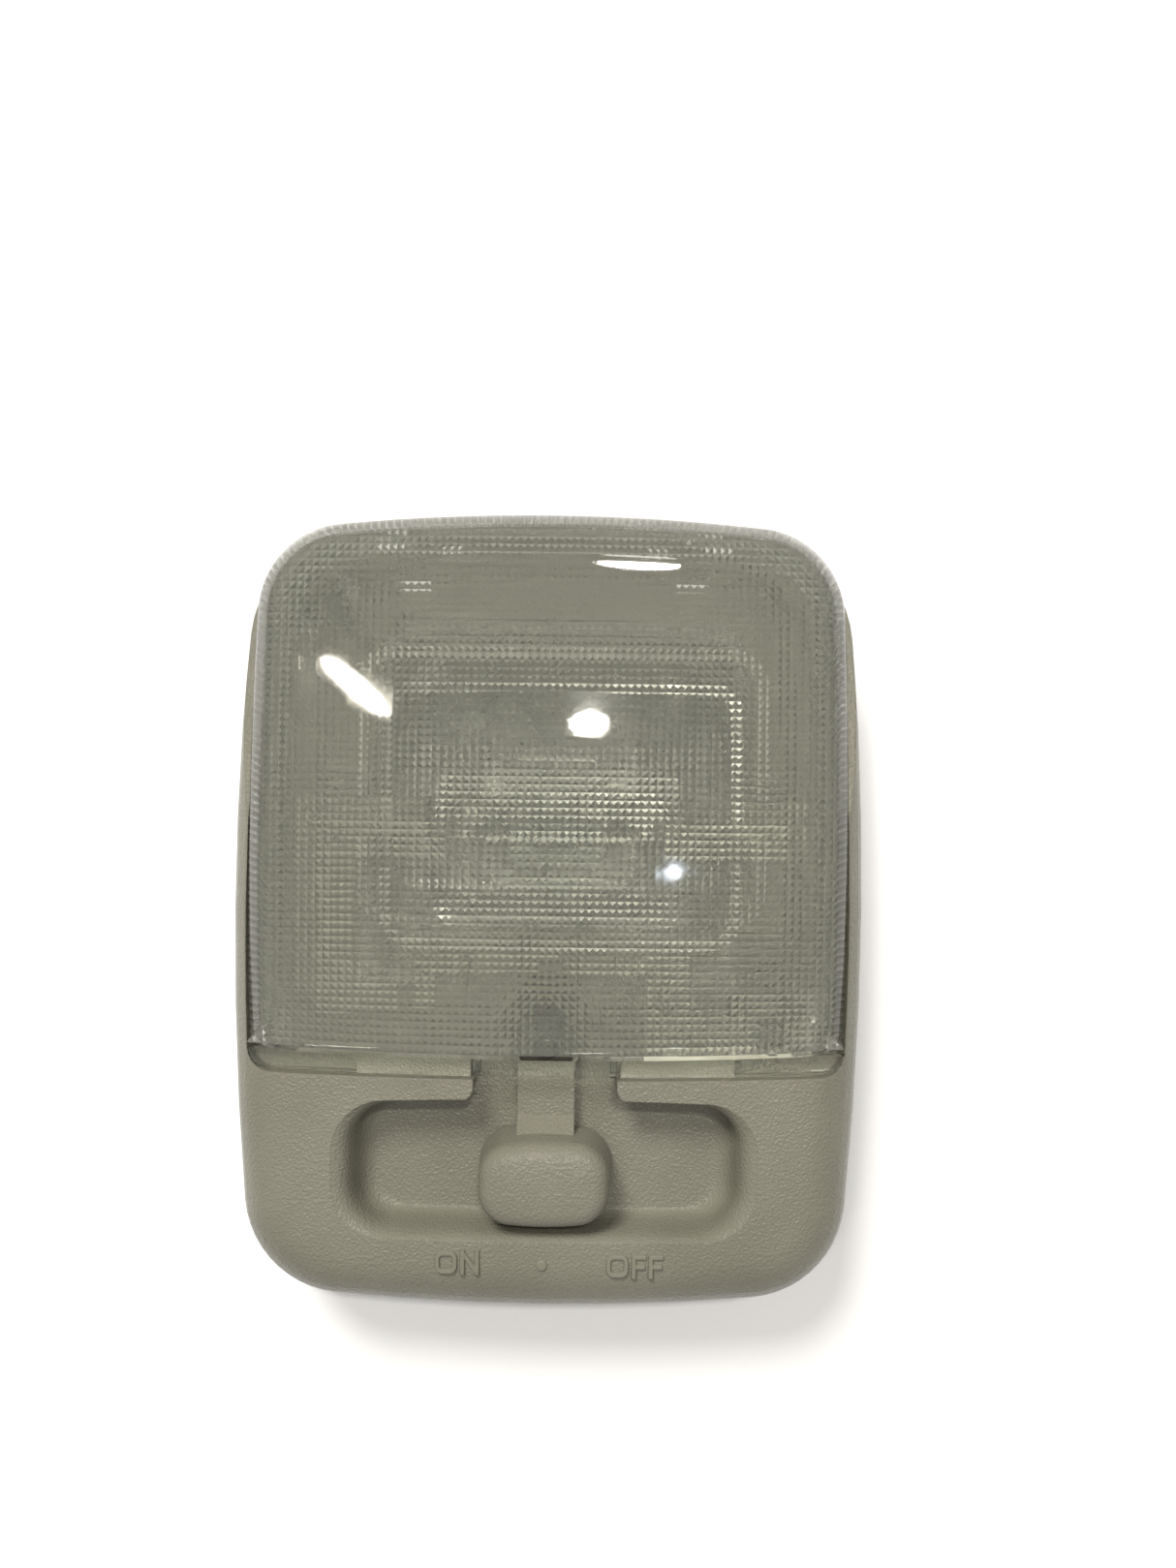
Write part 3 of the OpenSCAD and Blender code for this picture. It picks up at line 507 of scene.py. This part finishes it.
def buildPrisms():
    f, p = lensForm, prismForm
    pitch = p["pitch"]
    nx = int(round(p["reach"][0] / pitch / 2)) * 2
    ny = int(round(p["reach"][1] / pitch))
    gx = (np.arange(nx + 1) - nx / 2) * pitch
    gy = -f["field"] + p["lowEdge"] + np.arange(ny + 1) * pitch
    x, y = np.meshgrid(gx, gy, indexing="ij")
    bow = x ** 2 / (2 * f["low"])
    y = y + bow * np.clip(1 - (y + f["field"]) / p["bowFade"], 0, 1)
    away = insetOf(x, y)
    # the top of the grid follows the shell's inner face; the lower edge has no roll
    low = y + f["field"] - bow
    sides = np.where(low < away + p["lowGap"], f["roll"] + 1, away)
    roll = np.clip(1 - (sides - f["wall"]) / (f["roll"] - f["wall"]), 0, 1)
    drop = (f["drop"] - f["wall"]) * (1 - np.sqrt(np.clip(1 - roll ** 2, 0, 1)))
    top = crownAt(x, y) - f["wall"] - p["gap"] - drop
    least = np.minimum.reduce([away[:-1, :-1], away[1:, :-1], away[:-1, 1:], away[1:, 1:]])
    lowSide = np.broadcast_to((gy[:-1] + f["field"])[None, :], least.shape)
    keep = np.where(lowSide < p["lowBand"], least > p["lowGap"], least > p["edge"])
    # points: the top grid, the ridges between the pits, and the pits' tips
    tip = 0.5 * pitch * math.tan(math.radians(p["slope"]))
    mid = lambda g: (g[:-1, :-1] + g[1:, :-1] + g[:-1, 1:] + g[1:, 1:]) / 4
    base = top - p["skin"] - tip
    n = x.size
    tips = np.stack([mid(x), mid(y), mid(base) + tip], -1)
    grids = [np.stack([x, y, top], -1), np.stack([x, y, base], -1), tips]
    points = np.concatenate([g.reshape(-1, 3) for g in grids])
    i, j = np.nonzero(keep)
    at = lambda u, v: u * (ny + 1) + v
    a, b, c, d = at(i, j), at(i + 1, j), at(i + 1, j + 1), at(i, j + 1)
    apex = 2 * n + i * ny + j
    edges = ((a, b), (b, c), (c, d), (d, a))
    facets = np.concatenate([np.stack([q + n, apex, r + n], -1) for q, r in edges])
    padded = np.pad(keep, 1)
    plates = [np.stack([a, b, c, d], -1)]
    for (di, dj), (q, r) in zip(((0, -1), (1, 0), (0, 1), (-1, 0)), edges):
        bare = ~padded[i + 1 + di, j + 1 + dj]
        plates.append(np.stack([q[bare] + n, r[bare] + n, r[bare], q[bare]], -1))
    groups = [np.concatenate(plates), facets]
    used = np.unique(np.concatenate([g.ravel() for g in groups]))
    remap = np.zeros(len(points), int)
    remap[used] = np.arange(len(used))
    made = meshOf(
        "lensPrisms", points[used], [remap[g] for g in groups],
        lensAcrylic, "cover", False,
    )
    made.data.materials.append(prismAcrylic)
    finish = np.repeat(np.arange(2, dtype=np.int32), [len(g) for g in groups])
    made.data.polygons.foreach_set("material_index", finish)
    return made


lensPrisms = buildPrisms()
print("prisms made", len(lensPrisms.data.polygons), "faces")


# A plate with rounded edges: rings of a closed convex line, set in by the edge radius at foot and
# head on a quarter circle, with a fan over each end
def roundedPlate(line, low, high, edge, steps=4):
    line = np.asarray(line, float)
    ahead, behind = np.roll(line, -1, 0) - line, line - np.roll(line, 1, 0)
    length = lambda v: np.maximum(np.linalg.norm(v, axis=1)[:, None], 1e-9)
    normal = lambda v: np.stack([v[:, 1], -v[:, 0]], -1) / length(v)
    out = normal(ahead) + normal(behind)
    out /= np.maximum((out ** 2).sum(1)[:, None] / 2, 1e-9)
    n = len(line)

    def ringAt(inset, z):
        return np.column_stack([line - out * inset, np.full(n, z)])

    turns = np.linspace(0, math.pi / 2, steps + 1)
    rings = [ringAt(edge * (1 - math.sin(t)), low + edge * (1 - math.cos(t))) for t in turns]
    rings += [ringAt(edge * (1 - math.cos(t)), high - edge * (1 - math.sin(t))) for t in turns]
    centre = line.mean(0)
    points = np.concatenate(rings + [[[*centre, low]], [[*centre, high]]])
    total = len(rings) * n
    fans = np.concatenate([fanFaces(0, n, total, False), fanFaces(total - n, n, total + 1, True)])
    return points, [tubeFaces(len(rings), n), fans]


# A rectangle with rounded corners, from its lower right corner round to the lower left one
def boxLine(x0, y0, x1, y1, corner=0.3, steps=4):
    t = np.linspace(0, math.pi / 2, steps + 1)
    arcs = []
    for cx, cy, turn in ((x1, y0, -90), (x1, y1, 0), (x0, y1, 90), (x0, y0, 180)):
        sx, sy = (-1 if cx == x1 else 1), (-1 if cy == y1 else 1)
        a = t + math.radians(turn)
        middleX, middleY = cx + sx * corner, cy + sy * corner
        arcs.append(np.stack([middleX + corner * np.cos(a), middleY + corner * np.sin(a)], -1))
    return np.concatenate(arcs)


# Clear strip along the lower edge, its two locating tabs, and the two hooks under the top edge,
# each a stem with a toe. Pairs are from and to, in mm.
stripForm = {
    "low": 24.4, "high": 26.0, "upper": 23.9, "half": 51.3, "straight": 48.0, "edge": 0.3,
    "bend": 3, "bendX": 51.2, "bendUp": 1.2,
    "tabX": 11.7, "tabWide": 1.2, "tabY": (-27.9, -24.2), "tabZ": (21.4, 24.5), "tabEdge": 0.25,
    "hookX": 25.4, "hookWide": 5.0, "stemY": (64.9, 66.5), "stemZ": (16.9, 21.4),
    "toeY": (66.2, 68.1), "toeZ": (16.9, 18.5), "toeCorner": 0.6, "toeEdge": 0.7,
}


# The strip's line is the bow of the lower edge, with a quarter turn at each end up to the lens
def buildStrip():
    f, s = lensForm, stripForm
    turn = np.radians(np.linspace(10, 80, 5))
    r = s["bend"]
    cornerX = s["bendX"] - r + r * np.sin(turn)
    cornerY = s["bendUp"] - f["strip"] + r - r * np.cos(turn)
    x = np.linspace(-s["straight"], s["straight"], 60)
    line = np.concatenate([
        np.column_stack([x, x ** 2 / (2 * f["low"]) - f["strip"]]),
        np.column_stack([cornerX, cornerY]),
        [[s["half"], -s["upper"]], [-s["half"], -s["upper"]]],
        np.column_stack([-cornerX, cornerY])[::-1],
    ])
    parts = [roundedPlate(line, s["low"], s["high"], s["edge"])]

    def block(x, wide, spanY, spanZ, corner, edge):
        outline = boxLine(x - wide / 2, spanY[0], x + wide / 2, spanY[1], corner)
        parts.append(roundedPlate(outline, *spanZ, edge))

    for side in (-1, 1):
        block(side * s["tabX"], s["tabWide"], s["tabY"], s["tabZ"], s["edge"], s["tabEdge"])
        hook, wide = side * s["hookX"], s["hookWide"]
        block(hook, wide, s["stemY"], s["stemZ"], s["edge"], s["edge"])
        block(hook, wide, s["toeY"], s["toeZ"], s["toeCorner"], s["toeEdge"])
    points, groups = joined(parts)
    made = meshOf("lensStrip", points, groups, lensAcrylic, "cover")
    made.data.set_sharp_from_angle(angle=math.radians(50))
    return made


lensStrip = buildStrip()
print("clear strip made")

leverBody = softCopy("leverBody", ("switch_lever",), grainedPlastic, "lever")
print("lever made")

# Raised marks on the lower rim: strokes with a flat top and sloping sides. Lines that stand on
# others are sunk a little, so that their tops don't share a plane.
markForm = {
    "stroke": 1.1, "high": 0.6, "foot": 26.86, "slope": 0.24, "sunk": 0.03,
    "tall": 3.1, "wide": 3.0, "corner": 0.95, "past": 0.5,
    "onX": -18.0, "onN": (-13.7, -11.2), "onY": -61.25,
    "offX": 11.2, "offF": (15.5, 18.4), "offY": -61.55, "arm": 2.1,
    "dot": (-0.25, -60.1), "dotRadius": 1.05, "dotZ": (26.46, 27.31), "dotEdge": 0.42,
}


# A closed or open line carries a trapezium: half width out at the foot, less the slope at the head
def strokeAlong(line, closed, sunk=0.0):
    m = markForm
    line = np.asarray(line, float)
    if closed:
        ahead, behind = np.roll(line, -1, 0) - line, line - np.roll(line, 1, 0)
    else:
        step = np.diff(line, axis=0)
        ahead, behind = np.concatenate([step, step[-1:]]), np.concatenate([step[:1], step])
    unit = lambda v: v / np.linalg.norm(v, axis=1)[:, None]
    side = lambda v: np.stack([-v[:, 1], v[:, 0]], -1)
    out = side(unit(ahead)) + side(unit(behind))
    out /= (out ** 2).sum(1)[:, None] / 2
    n = len(line)
    half, head = m["stroke"] / 2, m["stroke"] / 2 - m["slope"]
    rows = [
        np.column_stack([line + out * w, np.full(n, m["foot"] + h - sunk)])
        for w, h in ((half, 0.0), (head, m["high"]), (-head, m["high"]), (-half, 0.0))
    ]
    points = np.stack(rows, 1)
    i = np.arange(n if closed else n - 1)[:, None]
    j = np.arange(4)[None, :]
    k, l = (i + 1) % n, (j + 1) % 4
    quads = np.stack([i * 4 + j, i * 4 + l, k * 4 + l, k * 4 + j], -1).reshape(-1, 4)[:, ::-1]
    if not closed:
        ends = [[0, 1, 2, 3], [4 * n - 1, 4 * n - 2, 4 * n - 3, 4 * n - 4]]
        quads = np.concatenate([quads, ends])
    return points.reshape(-1, 3), [quads]


# ON, the dot and OFF: each O is a rounded rectangle, the other letters are straight strokes
def buildMarks():
    m = markForm
    tall, past, sunk = m["tall"], m["past"], m["sunk"]
    parts = [
        strokeAlong(boxLine(x, y, x + m["wide"], y + tall, m["corner"], 5), True)
        for x, y in ((m["onX"], m["onY"]), (m["offX"], m["offY"]))
    ]
    low = m["onY"]
    left, right = m["onN"]
    for x in m["onN"]:
        parts.append(strokeAlong([[x, low - past], [x, low + tall + past]], False))
    parts.append(strokeAlong([[left, low + tall + 0.15], [right, low - 0.15]], False, sunk))
    low, bar = m["offY"], m["offY"] + tall / 2 - 0.1
    for x in m["offF"]:
        bent = [[x, low - past], [x, low + tall], [x + m["arm"], low + tall]]
        parts.append(strokeAlong(bent, False))
        parts.append(strokeAlong([[x + 0.2, bar], [x + m["arm"] - 0.2, bar]], False, sunk))
    turn = np.radians(np.arange(0, 360, 15))
    ring = np.stack([np.cos(turn), np.sin(turn)], -1) * m["dotRadius"] + m["dot"]
    parts.append(roundedPlate(ring, *m["dotZ"], m["dotEdge"], 5))
    points, groups = joined(parts)
    made = meshOf("switchMarks", points, groups, smoothPlastic, "case")
    made.data.set_sharp_from_angle(angle=math.radians(30))
    return made


switchMarks = buildMarks()
print("marks made")

# metal, bulb and tray keep their CAD shapes
finishes = {
    # the pivot rivet and washer take the near-black steel, painted shade for the hollow round the
    # pivot
    "pivot_rivet": darkSteel, "pivot_washer": darkSteel, "wiper_contact": springBrass,
    "earth_strip": tinnedSteel, "feed_strip": tinnedSteel, "door_strip": tinnedSteel,
    "common_strip": tinnedSteel, "bulb_contact_left": tinnedSteel,
    "bulb_contact_right": tinnedSteel, "bulb_glass": bulbGlass, "bulb_filament": tungsten,
    "bulb_cap_left": tinnedSteel, "bulb_cap_right": tinnedSteel, "reflector": brightTray,
    "rivet_bulb_left": tinnedSteel, "rivet_bulb_right": tinnedSteel,
    "rivet_earth": tinnedSteel, "rivet_door": tinnedSteel,
}
for node, material in finishes.items():
    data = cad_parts[node].data
    data.materials.clear()
    data.materials.append(material)
print("metal and bulb finished")

# Floor, lamps and world. The key lamp stands low beyond the top left corner, out of sight of
# mirrors and clear plastic. Four weak lamps stand where the lens mirrors them to the camera. Each
# has its slope from the upright, its two widths with the turn of the first, its power and its
# tone. The lamps stand far from the aim, and the world fills the shadows.
studio = {
    "floor": "#ffffff", "floorHalf": 3000, "world": 0.36, "worldTone": "#f8f8f6", "seen": 0.3,
    "far": 1500, "aim": (0, 20, 30),
    "lamps": {
        "key lamp": ((-0.36, 0.92), (500, 500, 0), 21.0, "#fffdf8"),
        "lamp overhead": ((0.029, 0.095), (85, 50, 0), 1.6, "#fffaf2"),
        "lamp left": ((-0.335, 0.152), (190, 44, -40), 1.6, "#fff6ea"),
        "lamp behind": ((0.105, 0.41), (180, 80, 0), 7.0, "#fffaf4"),
        "lamp small": ((0.158, -0.135), (35, 30, 0), 0.12, "#e2ecff"),
    },
}


# An oval lamp that faces the aim: tipped by its angle from the upright, then turned to its heading
def aimedLamp(name, slope, size, power, tone):
    light = bpy.data.lights.new(name, "AREA")
    light.shape = "ELLIPSE"
    light.size, light.size_y = size[0] * mm, size[1] * mm
    light.energy = power
    light.color = linear(tone)[:3]
    made = bpy.data.objects.new(name, light)
    scene.collection.objects.link(made)
    away = np.array([slope[0], slope[1], 1.0])
    away /= np.linalg.norm(away)
    made.location = (away * studio["far"] + studio["aim"]) * mm
    heading = math.atan2(away[1], away[0]) + math.pi / 2
    tip = mathutils.Euler((math.acos(away[2]), 0, heading)).to_matrix()
    spin = mathutils.Matrix.Rotation(math.radians(size[2]) - heading, 3, "Z")
    made.rotation_euler = (tip @ spin).to_euler()
    made.visible_glossy = made.visible_transmission = name != "key lamp"


# Matt white card under the lamp: it shows a soft shadow and no reflection
def buildFloor():
    half = studio["floorHalf"] * mm
    data = bpy.data.meshes.new("floor")
    corners = [(-half, -half, 0), (half, -half, 0), (half, half, 0), (-half, half, 0)]
    data.from_pydata(corners, [], [(0, 1, 2, 3)])
    floor = bpy.data.objects.new("floor", data)
    scene.collection.objects.link(floor)
    material, tree = newMaterial("paper card matt white")
    matt = put(tree, "ShaderNodeBsdfDiffuse", {"Color": linear(studio["floor"])})
    put(tree, "ShaderNodeOutputMaterial", {"Surface": matt.outputs["BSDF"]})
    data.materials.append(material)


# A pale room: white to the camera, dimmer to mirrors and clear plastic, and a fill for the rest
def buildWorld():
    world = bpy.data.worlds.new("room")
    scene.world = world
    world.use_nodes = True
    tree = world.node_tree
    tree.nodes.clear()
    rays = put(tree, "ShaderNodeLightPath")
    seen = put(
        tree, "ShaderNodeMath",
        {0: rays.outputs["Is Glossy Ray"], 1: rays.outputs["Is Transmission Ray"]},
        operation="MAXIMUM",
    )
    tone = linear(studio["worldTone"])
    room = put(tree, "ShaderNodeBackground", {"Color": tone, "Strength": studio["world"]})
    mirrored = put(tree, "ShaderNodeBackground", {"Color": tone, "Strength": studio["seen"]})
    white = put(tree, "ShaderNodeBackground", {"Color": linear("#ffffff"), "Strength": 1.0})
    inner = put(
        tree, "ShaderNodeMixShader",
        {0: seen.outputs[0], 1: room.outputs["Background"], 2: mirrored.outputs["Background"]},
    )
    mixed = put(
        tree, "ShaderNodeMixShader",
        {
            0: rays.outputs["Is Camera Ray"], 1: inner.outputs["Shader"],
            2: white.outputs["Background"],
        },
    )
    put(tree, "ShaderNodeOutputWorld", {"Surface": mixed.outputs["Shader"]})


buildFloor()
buildWorld()
for name, settings in studio["lamps"].items():
    aimedLamp(name, *settings)
print("studio lit")
